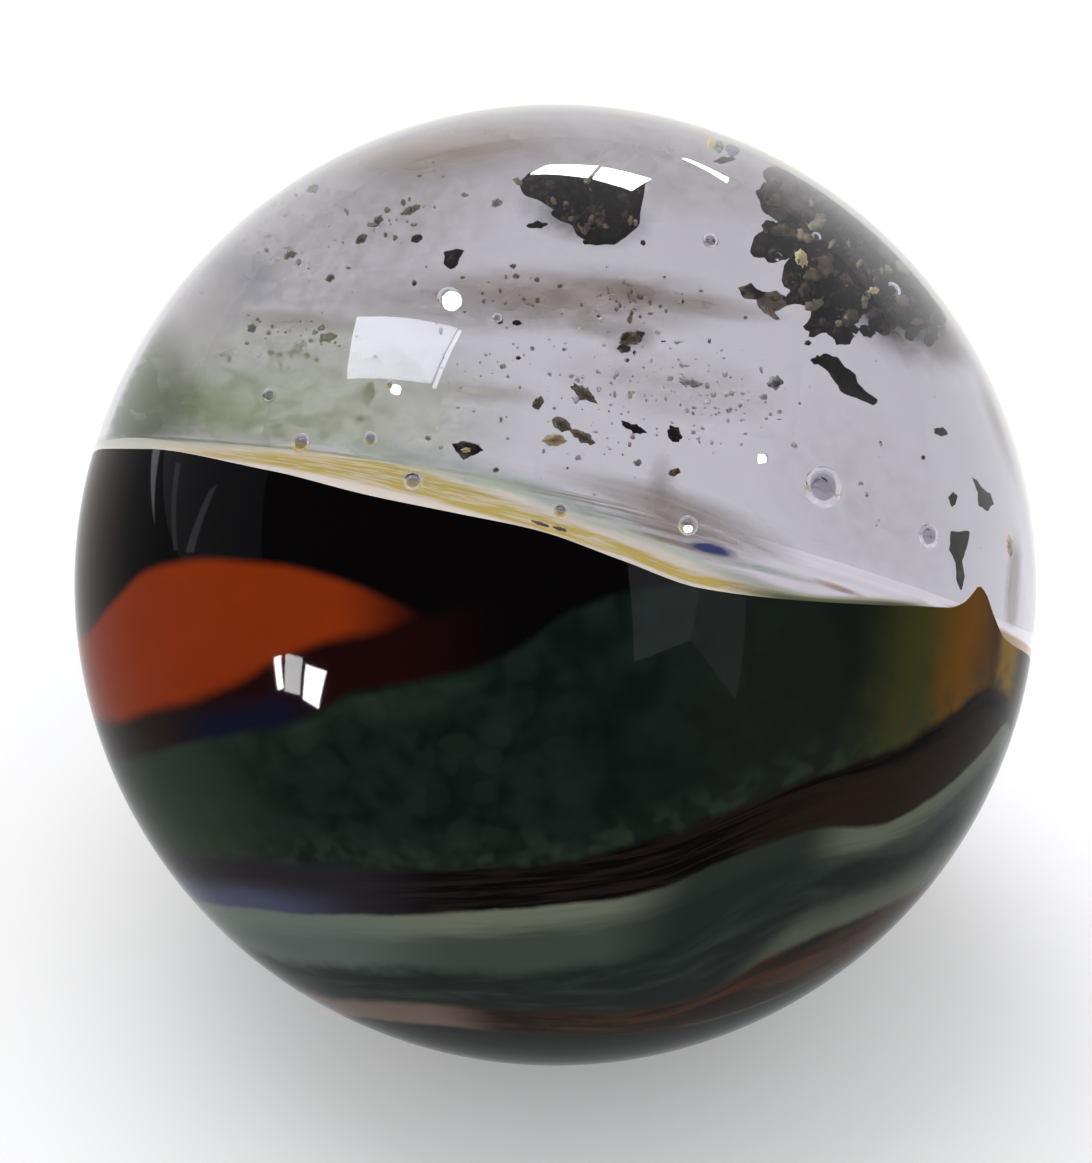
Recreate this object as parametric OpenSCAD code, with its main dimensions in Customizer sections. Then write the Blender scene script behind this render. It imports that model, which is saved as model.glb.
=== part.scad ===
// A solid handmade glass marble, in millimetres, with its origin at the ball's centre and +Z up.
// The ball is one fused piece of two glasses: clear glass, with gas bubbles cut in it as closed round voids,
// over coloured glass, whose upper face is a shallow dome that is seen nearly edge on through the clear glass.
// The show side, through whose clear glass the bubbles are seen, looks along -Y and is tilted upward.

/* [Ball] */
// Diameter of the marble
ball_d = 25; // [14:0.5:50]

/* [Glass] */
// Refractive index of the clear glass, which sets how far a bubble lies from where it appears
glass_index = 1.5; // [1.40:0.01:1.70]
// Angle of the show side above level, in degrees
show_tilt = 45; // [0:1:90]

/* [Coloured glass] */
// Height of the coloured glass's rim above the ball's centre, measured square to its upper face
face_height = 0.4; // [-3:0.1:3]
// Radius of the shallow dome that its upper face is part of
face_dome_r = 65; // [30:1:200]
// Fall of the upper face to the right, in degrees
face_roll = 12; // [-30:1:30]
// Fall of the upper face to the back, in degrees
face_lean = 4.5; // [-10:0.5:20]

/* [Bubbles] */
// Diameter of the one large bubble
large_bubble_d = 0.9; // [0.40:0.05:1.20]
// Diameter of the middling bubbles, most of which lie on the colour's upper edge
middling_bubble_d = 0.5; // [0.25:0.05:0.80]
// Diameter of the small bubbles
small_bubble_d = 0.32; // [0.10:0.02:0.50]
// Diameter of the finest bubbles, called seed
seed_bubble_d = 0.2; // [0.08:0.01:0.30]

/* [Hidden] */
$fn = 96;
dome_facets = 288;
ball_r = ball_d / 2;
clear_colour = [0.74, 0.72, 0.76, 0.55];
dark_green = [0.10, 0.14, 0.11];

// Where each bubble appears on the show side and how deep it lies:
// [shift to the right, shift upward, share of the way through the glass along the line of sight].
// The two shifts are shares of the ball's radius.
LARGE_BUBBLES = [
    [0.55, 0.20, 0.24]
];
MIDDLING_BUBBLES = [
    [0.77, 0.10, 0.30],
    [-0.22, 0.59, 0.26],
    [-0.52, 0.29, 0.07],
    [-0.29, 0.21, 0.045],
    [0.27, 0.12, 0.07]
];
SMALL_BUBBLES = [
    [0.32, 0.71, 0.34],
    [-0.59, 0.39, 0.32],
    [-0.53, 0.49, 0.40],
    [-0.38, 0.30, 0.28],
    [0.01, 0.15, 0.045],
    [0.70, 0.61, 0.40]
];
SEED_BUBBLES = [
    [0.43, 0.26, 0.22],
    [-0.34, 0.41, 0.20],
    [-0.12, 0.55, 0.36],
    [0.54, 0.72, 0.38],
    [0.46, 0.68, 0.42]
];

// Axes of the show side: to its right, up along it, and straight out of it
show_right = [1, 0, 0];
show_up = [0, sin(show_tilt), cos(show_tilt)];
show_out = [0, -cos(show_tilt), sin(show_tilt)];

// A point given in the show side's axes, turned into the marble's own frame
function from_show_side(p) = p.x * show_right + p.y * show_up + p.z * show_out;

// Where a straight line of sight meets the ball, for a ball of radius 1
function sight_entry(look) = [look.x, look.y, sqrt(1 - look.x ^ 2 - look.y ^ 2)];

// The direction of that line inside the glass, bent at the surface by the law of refraction
function bent_sight(entry) =
    let (
        in_line = [0, 0, -1],
        cos_in = entry.z,
        ratio = 1 / glass_index,
        cos_out = sqrt(1 - ratio ^ 2 * (1 - cos_in ^ 2))
    )
    ratio * in_line + (ratio * cos_in - cos_out) * entry;

// The true centre of a bubble, from where it appears and its share of the way through the glass
function bubble_centre(look) =
    let (
        entry = sight_entry(look),
        way = bent_sight(entry),
        way_through = -2 * (entry * way)
    )
    from_show_side(ball_r * (entry + look.z * way_through * way));

// Axis of the coloured glass's upper face, near the show side's up axis
face_tilt = [tan(face_roll), 1, -tan(face_lean)];
face_axis = from_show_side(face_tilt / norm(face_tilt));

// The face belongs to a large ball that meets the marble's surface along a circle, the rim
rim_r = sqrt(ball_r ^ 2 - face_height ^ 2);
dome_centre = (face_height - sqrt(face_dome_r ^ 2 - rim_r ^ 2)) * face_axis;

// Gas bubbles of one diameter
module bubbles(looks, d) {
    for (look = looks)
        translate(bubble_centre(look))
            sphere(d = d);
}

// Every gas bubble
module all_bubbles() {
    bubbles(LARGE_BUBBLES, large_bubble_d);
    bubbles(MIDDLING_BUBBLES, middling_bubble_d);
    bubbles(SMALL_BUBBLES, small_bubble_d);
    bubbles(SEED_BUBBLES, seed_bubble_d);
}

// Everything that lies under the coloured glass's upper face
module under_face() {
    translate(dome_centre)
        sphere(r = face_dome_r, $fn = dome_facets);
}

// The clear glass: the ball over the upper face, with the bubbles closed in it
module marble() {
    color(clear_colour)
        difference() {
            sphere(d = ball_d);
            under_face();
            all_bubbles();
        }
}

// The coloured glass: the rest of the ball, fused to the clear glass along the upper face
module coloured_glass() {
    color(dark_green)
        difference() {
            intersection() {
                sphere(d = ball_d);
                under_face();
            }
            all_bubbles();
        }
}

marble();
coloured_glass();
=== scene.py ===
import math
import random

import bmesh
import bpy
import numpy as np
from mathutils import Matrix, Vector


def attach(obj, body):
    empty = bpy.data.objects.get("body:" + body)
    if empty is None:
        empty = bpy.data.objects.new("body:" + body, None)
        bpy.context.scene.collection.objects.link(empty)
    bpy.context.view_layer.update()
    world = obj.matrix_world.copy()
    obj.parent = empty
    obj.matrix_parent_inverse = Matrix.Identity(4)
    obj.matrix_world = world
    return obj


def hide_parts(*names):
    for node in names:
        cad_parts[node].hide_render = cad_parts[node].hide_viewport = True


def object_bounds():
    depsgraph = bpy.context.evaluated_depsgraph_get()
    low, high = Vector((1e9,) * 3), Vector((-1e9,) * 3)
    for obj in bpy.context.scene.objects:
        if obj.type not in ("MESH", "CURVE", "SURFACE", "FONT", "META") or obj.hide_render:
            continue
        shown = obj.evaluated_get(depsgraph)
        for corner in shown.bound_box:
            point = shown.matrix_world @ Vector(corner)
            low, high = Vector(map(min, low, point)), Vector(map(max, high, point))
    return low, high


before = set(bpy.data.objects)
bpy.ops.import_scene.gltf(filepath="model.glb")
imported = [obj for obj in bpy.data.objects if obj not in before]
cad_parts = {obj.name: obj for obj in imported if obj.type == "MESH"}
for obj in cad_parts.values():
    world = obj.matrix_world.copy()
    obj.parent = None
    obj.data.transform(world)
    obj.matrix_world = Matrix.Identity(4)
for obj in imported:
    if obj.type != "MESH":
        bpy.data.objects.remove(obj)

CAD_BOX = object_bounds()
LOW, HIGH = CAD_BOX
BALL_CENTRE = (LOW + HIGH) / 2
BALL_RADIUS = (HIGH.z - LOW.z) / 2
MM = 0.001
LEAST_LENGTH = 1e-6
RNG = random.Random(41)

# The photograph's frame, in its own pixels, and where the ball lies in it
PHOTO_WIDTH = 1092
PHOTO_HEIGHT = 1163
BALL_PX_X = 555.5
BALL_PX_Y = 584.5
BALL_PX_RADIUS = 481.0

# How the show side is turned, and the camera that looks straight at it
SHOW_TILT = math.radians(45)
CAMERA_DISTANCE_IN_RADII = 40.0
GLASS_INDEX = 1.5
SENSOR_WIDTH_MM = 36.0
CAMERA_CLIP_START = 0.01
CAMERA_CLIP_END = 10.0

# Axes of the show side as rows: to its right, up along it, straight out of it
SHOW_AXES = np.array((
    (1.0, 0.0, 0.0),
    (0.0, math.sin(SHOW_TILT), math.cos(SHOW_TILT)),
    (0.0, -math.cos(SHOW_TILT), math.sin(SHOW_TILT)),
))
FOCAL_PX = BALL_PX_RADIUS / math.tan(math.asin(1 / CAMERA_DISTANCE_IN_RADII))
MM_PER_PX = BALL_RADIUS / MM / BALL_PX_RADIUS


# Places: every place below is in the show side's axes with the ball's radius as 1, until to_frame


def to_frame(points):
    """Points in the show side's axes, in radii, as metres in the CAD frame."""
    return np.asarray(points, float) @ SHOW_AXES * BALL_RADIUS + np.array(BALL_CENTRE)


def bent_by_glass(toward, entry):
    """The direction inside the glass of each sight line that meets the ball at an entry."""
    cos_in = np.clip(-(toward * entry).sum(-1), 0, 1)
    ratio = 1 / GLASS_INDEX
    cos_out = np.sqrt(1 - ratio ** 2 * (1 - cos_in ** 2))
    return ratio * toward + (ratio * cos_in - cos_out)[..., None] * entry


def sight_line(px, py):
    """Where the sight line through each pixel meets the ball, its bent direction, and its way through."""
    px, py = np.broadcast_arrays(np.asarray(px, float), np.asarray(py, float))
    toward = np.stack(((px - BALL_PX_X) / FOCAL_PX, (BALL_PX_Y - py) / FOCAL_PX, -np.ones_like(px)), -1)
    toward /= np.linalg.norm(toward, axis=-1, keepdims=True)
    eye = np.array((0.0, 0.0, CAMERA_DISTANCE_IN_RADII))
    along = -(toward @ eye)
    miss = along ** 2 - (CAMERA_DISTANCE_IN_RADII ** 2 - 1)
    entry = eye + (along - np.sqrt(np.maximum(miss, 0)))[..., None] * toward
    entry /= np.linalg.norm(entry, axis=-1, keepdims=True)
    bent = bent_by_glass(toward, entry)
    through = -2 * (entry * bent).sum(-1)
    return entry, bent, through


# The coloured glass's upper face in the CAD solids: part of a shallow dome, in radii
FACE_ROLL = math.radians(12)
FACE_LEAN = math.radians(4.5)
FACE_HEIGHT = 0.4 * MM / BALL_RADIUS
FACE_DOME_RADIUS = 65 * MM / BALL_RADIUS
FACE_AXIS = np.array((math.tan(FACE_ROLL), 1.0, -math.tan(FACE_LEAN)))
FACE_AXIS /= np.linalg.norm(FACE_AXIS)
DOME_CENTRE_AT = FACE_HEIGHT - math.sqrt(FACE_DOME_RADIUS ** 2 - (1 - FACE_HEIGHT ** 2))
FACE_TOP = (DOME_CENTRE_AT + FACE_DOME_RADIUS) * FACE_AXIS
FACE_CLEARANCE = 0.012
FACE_LEAST_SHARE = 0.02
FACE_STEP_BACK = 0.85


def dome_height(points):
    """How high the dome stands along its axis, over or under each point."""
    along = points @ FACE_AXIS
    off_axis = (points * points).sum(-1) - along ** 2
    return DOME_CENTRE_AT + np.sqrt(FACE_DOME_RADIUS ** 2 - off_axis)


def cad_rim(turns):
    """Latitude of the rim of the CAD solid, the circle where the dome meets the ball, at each turn."""
    around = np.radians(turns)
    level = FACE_AXIS[0] * np.sin(around) + FACE_AXIS[2] * np.cos(around)
    reach = np.hypot(FACE_AXIS[1], level)
    return np.degrees(np.arcsin(FACE_HEIGHT / reach) - np.arctan2(level, FACE_AXIS[1]))


def inside_glass(px, py, share):
    """The point seen at a pixel through the glass, at this share of the way through the ball."""
    entry, bent, through = sight_line(px, py)
    return entry + (np.asarray(share) * through)[..., None] * bent


def over_face(points):
    """How far each point lies over the coloured glass's upper face, in radii."""
    return points @ FACE_AXIS - dome_height(points)


def share_over_face(px, py, share):
    """This share of the way through the ball, or less where it has to be, to lie over the coloured glass."""
    while share > FACE_LEAST_SHARE and over_face(inside_glass(px, py, share)) < FACE_CLEARANCE:
        share *= FACE_STEP_BACK
    return share


SIGHT_STEPS = 500
LIMB_MARGIN = 1e-3
LEAST_MISS = 1e-9


def seen_pixels(points):
    """The pixel at which each point inside the glass is seen by the camera."""
    off_axis = np.maximum(np.hypot(points[:, 0], points[:, 1]), LEAST_LENGTH)
    angles = np.linspace(0, math.acos(1 / CAMERA_DISTANCE_IN_RADII) - LIMB_MARGIN, SIGHT_STEPS)
    entry = np.stack((np.sin(angles), np.cos(angles)), -1)
    toward = entry - np.array((0.0, CAMERA_DISTANCE_IN_RADII))
    toward /= np.linalg.norm(toward, axis=-1, keepdims=True)
    bent = bent_by_glass(toward, entry)
    miss = bent[:, 0] * (points[:, 2:3] - entry[:, 1]) - bent[:, 1] * (off_axis[:, None] - entry[:, 0])
    after = np.argmax(miss < 0, axis=1)
    after = np.where((miss < 0).any(axis=1), np.maximum(after, 1), SIGHT_STEPS - 1)
    row = np.arange(len(points))
    miss_before, miss_after = miss[row, after - 1], miss[row, after]
    part = np.clip(miss_before / np.maximum(miss_before - miss_after, LEAST_MISS), 0, 1)
    angle = angles[after - 1] + (angles[after] - angles[after - 1]) * part
    reach = FOCAL_PX * np.sin(angle) / (CAMERA_DISTANCE_IN_RADII - np.cos(angle))
    return BALL_PX_X + reach * points[:, 0] / off_axis, BALL_PX_Y - reach * points[:, 1] / off_axis


def smooth_step(low, high, value):
    part = np.clip((np.asarray(value, float) - low) / (high - low), 0, 1)
    return part * part * (3 - 2 * part)


def smooth_curve(knots_x, knots_y, x, period=None):
    """A curve through the knots with no overshoot; with a period it closes on itself."""
    knots_x = np.asarray(knots_x, float)
    knots_y = np.asarray(knots_y, float)
    order = np.argsort(knots_x)
    knots_x, knots_y = knots_x[order], knots_y[order]
    if period:
        knots_x = np.concatenate((knots_x - period, knots_x, knots_x + period))
        knots_y = np.concatenate((knots_y, knots_y, knots_y))
    step = np.diff(knots_x)
    slope = np.diff(knots_y) / step
    tangent = np.concatenate((slope[:1], np.zeros(len(slope) - 1), slope[-1:]))
    same_way = slope[:-1] * slope[1:] > 0
    before, after = step[:-1], step[1:]
    weight_1, weight_2 = 2 * after + before, after + 2 * before
    safe_1 = np.where(same_way, slope[:-1], 1)
    safe_2 = np.where(same_way, slope[1:], 1)
    mean = (weight_1 + weight_2) / (weight_1 / safe_1 + weight_2 / safe_2)
    tangent[1:-1] = np.where(same_way, mean, 0)
    knot = np.clip(np.searchsorted(knots_x, x) - 1, 0, len(step) - 1)
    part = np.clip((x - knots_x[knot]) / step[knot], 0, 1)
    width = step[knot]
    return ((2 * part ** 3 - 3 * part ** 2 + 1) * knots_y[knot]
            + (part ** 3 - 2 * part ** 2 + part) * width * tangent[knot]
            + (3 * part ** 2 - 2 * part ** 3) * knots_y[knot + 1]
            + (part ** 3 - part ** 2) * width * tangent[knot + 1])


def turn_and_height(px, py):
    """Degrees around the show side's up axis from its front, and degrees of latitude, of a skin pixel."""
    entry, _, _ = sight_line(px, py)
    turn = np.degrees(np.arctan2(entry[..., 0], entry[..., 2]))
    return turn, np.degrees(np.arcsin(entry[..., 1]))


def ring(front_px, back_degrees, turns):
    """Latitude of a band's edge all round the ball: pixels on the front, then [turn, latitude] behind."""
    front = np.array(front_px, float)
    turn, height = turn_and_height(front[:, 0], front[:, 1])
    back = np.array(back_degrees, float)
    return smooth_curve(np.concatenate((turn, back[:, 0])), np.concatenate((height, back[:, 1])),
                        turns, period=360)


# The rim of the coloured glass where its upper face goes on inward, and where the rim runs behind
INNER_RIM_FRONT = [
    (104, 449), (272, 471), (455, 513), (621, 560), (700, 588), (796, 600), (879, 606), (960, 622),
    (1004, 640), (1024, 652),
]
RIM_BACK_TURNS = (115, 150, 180, 215, 245)
RIM_BACK = list(zip(RIM_BACK_TURNS, cad_rim(RIM_BACK_TURNS)))

# Edges on the ball's skin: pixels on the front, then [turn, latitude] behind
EDGES = {
    "rim": (
        [(104, 449), (150, 449), (272, 471), (372, 496), (455, 513), (540, 531), (621, 560), (700, 588),
         (796, 600), (879, 605), (925, 607), (950, 608), (965, 602), (973, 593), (979, 586), (985, 592),
         (993, 614), (1004, 638), (1024, 652)],
        RIM_BACK),
    "green_top": (
        [(112, 764), (136, 757), (206, 738), (272, 725), (312, 712), (355, 690), (405, 682), (471, 669),
         (525, 643), (564, 614), (621, 593), (690, 582), (760, 560), (900, 540)],
        [(100, 6), (150, -26), (190, -30), (230, -28), (255, -24)]),
    "orange_top": (
        [(88, 632), (116, 599), (150, 569), (206, 559), (272, 564), (338, 579), (405, 606), (430, 620),
         (480, 652), (560, 690), (800, 700)],
        [(100, -10), (170, -18), (225, -14), (255, -8)]),
    "orange_foot": (
        [(98, 719), (110, 721), (173, 706), (239, 681), (289, 655), (338, 639), (388, 628), (430, 616),
         (480, 606), (560, 610), (800, 640)],
        [(100, -4), (170, -12), (225, -16), (252, -18)]),
    "green_foot": (
        [(150, 843), (176, 850), (284, 861), (351, 863), (431, 868), (500, 864), (607, 851), (679, 830),
         (750, 801), (821, 773), (893, 744), (946, 716), (990, 686)],
        [(95, -24), (140, -34), (190, -40), (240, -38)]),
    "brown_foot": (
        [(190, 898), (240, 906), (303, 912), (367, 914), (463, 911), (540, 905), (607, 898), (661, 887),
         (714, 864), (768, 842), (821, 828), (875, 825), (929, 798), (982, 751), (1006, 722)],
        [(100, -34), (140, -42), (190, -46), (240, -44)]),
    "olive_foot": (
        [(240, 945), (300, 962), (400, 968), (500, 970), (600, 962), (680, 940), (740, 900), (800, 868),
         (860, 852), (920, 838), (965, 800)],
        [(100, -44), (140, -50), (190, -54), (240, -53)]),
    "rust_top": (
        [(300, 990), (340, 1000), (420, 1003), (500, 1009), (607, 1012), (679, 1001), (721, 984),
         (768, 957), (839, 926), (911, 893), (950, 862)],
        [(105, -52), (140, -57), (190, -60), (240, -59)]),
    "rust_foot": (
        [(340, 1014), (420, 1024), (500, 1031), (607, 1035), (696, 1023), (768, 1000), (821, 975),
         (880, 936), (930, 893)],
        [(105, -57), (140, -61), (190, -64), (240, -64)]),
}

# The strip of cream and yellow along the upper face's front edge: its far side as it is seen
STRIP_TOP_SEEN = [
    (104, 437), (160, 431), (226, 430), (322, 442), (405, 456), (500, 488), (600, 524), (660, 548),
    (714, 571), (770, 588), (820, 597), (879, 600), (960, 614), (1024, 644),
]

# The coloured glass, one closed mesh: its skin on the ball, and its upper face inside the clear glass

SKIN_STAND_OFF = 1.0008
TURNS = 420
SKIN_ROWS = 110
FACE_ROWS = 84
RIM_BLEND = 0.45
STRIP_MOST = 6.0
STRIP_BEHIND = 0.30
STRIP_LEAST_PX = 4.0
STRIP_SEEN_TO_TURN = 75
STRIP_EVEN_FROM_TURN = 105
FRONT_TO_TURN = 95
BEHIND_FROM_TURN = 165
INNER_RIM_FROM_SHARE = 0.07
FAR_FROM_EDGE_MM = 9.0
LEAST_BAND_DEGREES = 1e-3


def sphere_points(turn, height):
    turn, height = np.radians(turn), np.radians(height)
    return np.stack((np.cos(height) * np.sin(turn), np.sin(height), np.cos(height) * np.cos(turn)), -1)


def put_in_scene(name, data):
    made = bpy.data.objects.new(name, data)
    bpy.context.scene.collection.objects.link(made)
    return made


def new_mesh_object(name, points, faces, materials, smooth=True):
    mesh = bpy.data.meshes.new(name)
    mesh.from_pydata(to_frame(points).tolist(), [], faces)
    for material in materials:
        mesh.materials.append(material)
    mesh.polygons.foreach_set("use_smooth", [smooth] * len(mesh.polygons))
    return put_in_scene(name, mesh)


LAYER_FIELDS = {"FLOAT": "value", "FLOAT_VECTOR": "vector", "FLOAT_COLOR": "color"}


def add_layer(mesh, kind, name, values):
    """Numbers, vectors or colours of a mesh's points, for the material to read."""
    layer = mesh.attributes.new(name, kind, "POINT")
    layer.data.foreach_set(LAYER_FIELDS[kind], np.asarray(values, np.float32).ravel())


def band_edges(turns):
    """Latitude of each edge round the ball, by name."""
    return {name: ring(front, back, turns) for name, (front, back) in EDGES.items()}


def upper_face_points(rim_points, inner_rim_points, share):
    """A ring of the upper face, at a share of the way from the rim, as it is seen, to the dome's top."""
    rim_points = rim_points + (inner_rim_points - rim_points) * smooth_step(0.0, INNER_RIM_FROM_SHARE, share)
    flat = rim_points + (FACE_TOP - rim_points) * share
    lift = (rim_points @ FACE_AXIS - dome_height(rim_points)) * (1 - smooth_step(0.0, RIM_BLEND, share))
    return flat + (dome_height(flat) + lift - flat @ FACE_AXIS)[:, None] * FACE_AXIS


def strip_level(face, turns, shares):
    """Each face point's height over the rim as it is seen, as a share of the strip's height.
    It never falls inward. Behind, where nothing is seen, the strip runs on at one breadth."""
    rim = np.array(INNER_RIM_FRONT, float)
    top = np.array(STRIP_TOP_SEEN, float)
    levels = []
    for row in face:
        px, py = seen_pixels(row)
        held = np.clip(px, rim[0, 0], rim[-1, 0])
        rim_py = smooth_curve(rim[:, 0], rim[:, 1], held)
        top_py = smooth_curve(top[:, 0], top[:, 1], held)
        levels.append((rim_py - py) / np.maximum(rim_py - top_py, STRIP_LEAST_PX))
    seen = np.clip(np.maximum.accumulate(np.stack(levels), axis=0), 0, STRIP_MOST)
    even = STRIP_MOST * smooth_step(0.0, STRIP_BEHIND, shares)[:, None]
    return seen + (even - seen) * smooth_step(STRIP_SEEN_TO_TURN, STRIP_EVEN_FROM_TURN, np.abs(turns))


def make_coloured_glass(skin_material, face_material):
    turns = np.linspace(-180, 180, TURNS, endpoint=False)
    edges = band_edges(turns)
    rim = edges["rim"]
    rows = np.linspace(0, 1, SKIN_ROWS + 1)[:-1]
    heights = rim[None, :] + (-90 - rim[None, :]) * rows[:, None]
    skin = sphere_points(turns[None, :], heights) * SKIN_STAND_OFF
    shares = np.linspace(0, 1, FACE_ROWS + 1)[1:-1]
    inner_rim = sphere_points(turns, ring(INNER_RIM_FRONT, RIM_BACK, turns)) * SKIN_STAND_OFF
    face = np.stack([upper_face_points(skin[0], inner_rim, share) for share in shares])
    foot = (0, -SKIN_STAND_OFF, 0)
    points = np.concatenate((skin.reshape(-1, 3), [foot], face.reshape(-1, 3), [FACE_TOP]))
    south = SKIN_ROWS * TURNS
    face_start = south + 1
    middle = face_start + len(shares) * TURNS
    faces = []
    around = [(k, (k + 1) % TURNS) for k in range(TURNS)]
    for row in range(SKIN_ROWS - 1):
        a, b = row * TURNS, (row + 1) * TURNS
        faces += [(a + k, b + k, b + n, a + n) for k, n in around]
    a = (SKIN_ROWS - 1) * TURNS
    faces += [(a + k, south, a + n) for k, n in around]
    skin_faces = len(faces)
    faces += [(k, n, face_start + n, face_start + k) for k, n in around]
    for row in range(len(shares) - 1):
        a, b = face_start + row * TURNS, face_start + (row + 1) * TURNS
        faces += [(a + k, a + n, b + n, b + k) for k, n in around]
    a = face_start + (len(shares) - 1) * TURNS
    faces += [(a + k, a + n, middle) for k, n in around]
    piece = new_mesh_object("coloured_swirl", points, faces, (skin_material, face_material))
    mesh = piece.data
    mesh.polygons.foreach_set("material_index", [0] * skin_faces + [1] * (len(faces) - skin_faces))
    rim_edges = {(min(k, n), max(k, n)) for k, n in around}
    sharp = mesh.attributes.new("sharp_edge", "BOOLEAN", "EDGE")
    sharp.data.foreach_set("value", [(min(e.vertices), max(e.vertices)) in rim_edges for e in mesh.edges])
    add_band_attributes(mesh, turns, edges, heights, shares, strip_level(face, turns, shares))
    return piece


def spread(row, shape):
    return np.broadcast_to(row, shape).ravel()


def add_band_attributes(mesh, turns, edges, heights, shares, level_on_face):
    """What the colour nodes read: millimetres above each edge, the bands' flow, and the upper face's map."""
    total = len(mesh.vertices)
    skin_count = heights.size
    face_first = skin_count + 1
    mm_per_degree = math.radians(1) * BALL_RADIUS / MM
    for name, edge in edges.items():
        values = np.full(total, FAR_FROM_EDGE_MM)
        values[:skin_count] = ((heights - edge[None, :]) * mm_per_degree).ravel()
        values[skin_count] = -FAR_FROM_EDGE_MM
        add_layer(mesh, "FLOAT", name, values)
    order = ("rim", "green_top", "green_foot", "brown_foot", "olive_foot", "rust_top", "rust_foot")
    stack = np.minimum.accumulate(np.stack([edges[n] for n in order] + [np.full(len(turns), -90.0)]), axis=0)
    stack -= np.arange(len(stack))[:, None] * LEAST_BAND_DEGREES
    level = np.zeros_like(heights)
    for k in range(len(stack) - 1):
        level += np.clip((stack[k] - heights) / (stack[k] - stack[k + 1]), 0, 1)
    flow = np.zeros((total, 3))
    around = np.radians(turns)
    flow[:skin_count, 0] = spread(np.cos(around), heights.shape)
    flow[:skin_count, 1] = spread(np.sin(around), heights.shape)
    flow[:skin_count, 2] = level.ravel()
    flow[skin_count] = (0, 0, len(stack) - 1)
    depth = np.broadcast_to(shares[:, None], (len(shares), len(turns)))
    flow[face_first:-1, 0] = spread(np.cos(around), depth.shape)
    flow[face_first:-1, 1] = spread(np.sin(around), depth.shape)
    flow[face_first:-1, 2] = depth.ravel()
    flow[-1] = (0, 0, 1)
    add_layer(mesh, "FLOAT_VECTOR", "flow", flow)
    to_the_right = np.zeros(total)
    to_the_right[:skin_count] = spread(turns, heights.shape)
    to_the_right[face_first:-1] = spread(turns, depth.shape)
    on_front = 1 - smooth_step(FRONT_TO_TURN, BEHIND_FROM_TURN, np.abs(to_the_right))
    add_layer(mesh, "FLOAT", "front_turn", to_the_right * on_front)
    strip = np.full(total, STRIP_MOST)
    strip[:skin_count] = 0.0
    strip[face_first:-1] = level_on_face.ravel()
    add_layer(mesh, "FLOAT", "strip", strip)


# Node helpers


class Shader:
    """A new material with short calls for the nodes that it uses."""

    def __init__(self, name):
        self.material = bpy.data.materials.new(name)
        self.material.use_nodes = True
        self.tree = self.material.node_tree
        self.tree.nodes.clear()

    def node(self, kind, inputs=None, **settings):
        made = self.tree.nodes.new(kind)
        for key, value in settings.items():
            setattr(made, key, value)
        for key, value in (inputs or {}).items():
            if isinstance(value, bpy.types.NodeSocket):
                self.tree.links.new(value, made.inputs[key])
            else:
                made.inputs[key].default_value = value
        return made

    def attribute(self, name, output="Fac"):
        return self.node("ShaderNodeAttribute", attribute_name=name).outputs[output]

    def math(self, operation, a, b=0.0, clamp=False):
        return self.node("ShaderNodeMath", {0: a, 1: b}, operation=operation, use_clamp=clamp).outputs[0]

    def times(self, a, b):
        return self.math("MULTIPLY", a, b)

    def swing(self, value, reach):
        """A noise value, swung about nought by this reach."""
        return self.times(self.math("SUBTRACT", value, 0.5), reach)

    def scaled(self, vector, scale):
        return self.node("ShaderNodeVectorMath", {0: vector, 1: scale}, operation="MULTIPLY").outputs[0]

    def spot_in_mm(self):
        place = self.node("ShaderNodeNewGeometry").outputs["Position"]
        return self.scaled(place, (1 / MM, 1 / MM, 1 / MM))

    def ramp(self, value, low, high, out_low=0.0, out_high=1.0):
        ranged = self.node("ShaderNodeMapRange", {"Value": value, "From Min": low, "From Max": high,
                                                  "To Min": out_low, "To Max": out_high},
                           interpolation_type="SMOOTHSTEP")
        return ranged.outputs["Result"]

    def noise(self, vector, scale, detail=3.0, rough=0.55, distortion=0.0):
        made = self.node("ShaderNodeTexNoise", {"Vector": vector, "Scale": scale, "Detail": detail,
                                                "Roughness": rough, "Distortion": distortion})
        return made.outputs["Fac"]

    def ripple(self, scale, strength, depth):
        """The normal of a surface with a faint ripple."""
        height = self.noise(self.spot_in_mm(), scale, 1.0)
        bump = self.node("ShaderNodeBump", {"Strength": strength, "Distance": depth, "Height": height})
        return bump.outputs["Normal"]

    def mix(self, factor, a, b):
        made = self.tree.nodes.new("ShaderNodeMix")
        made.data_type = "RGBA"
        for socket, value in ((made.inputs[0], factor), (made.inputs[6], a), (made.inputs[7], b)):
            if isinstance(value, bpy.types.NodeSocket):
                self.tree.links.new(value, socket)
            else:
                socket.default_value = value
        return made.outputs[2]

    def finish(self, shader):
        self.node("ShaderNodeOutputMaterial", {"Surface": shader})
        return self.material


def rgb(r, g, b):
    return (r, g, b, 1.0)


# Colours of the glass, and of reflections painted on it, as linear values

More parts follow.
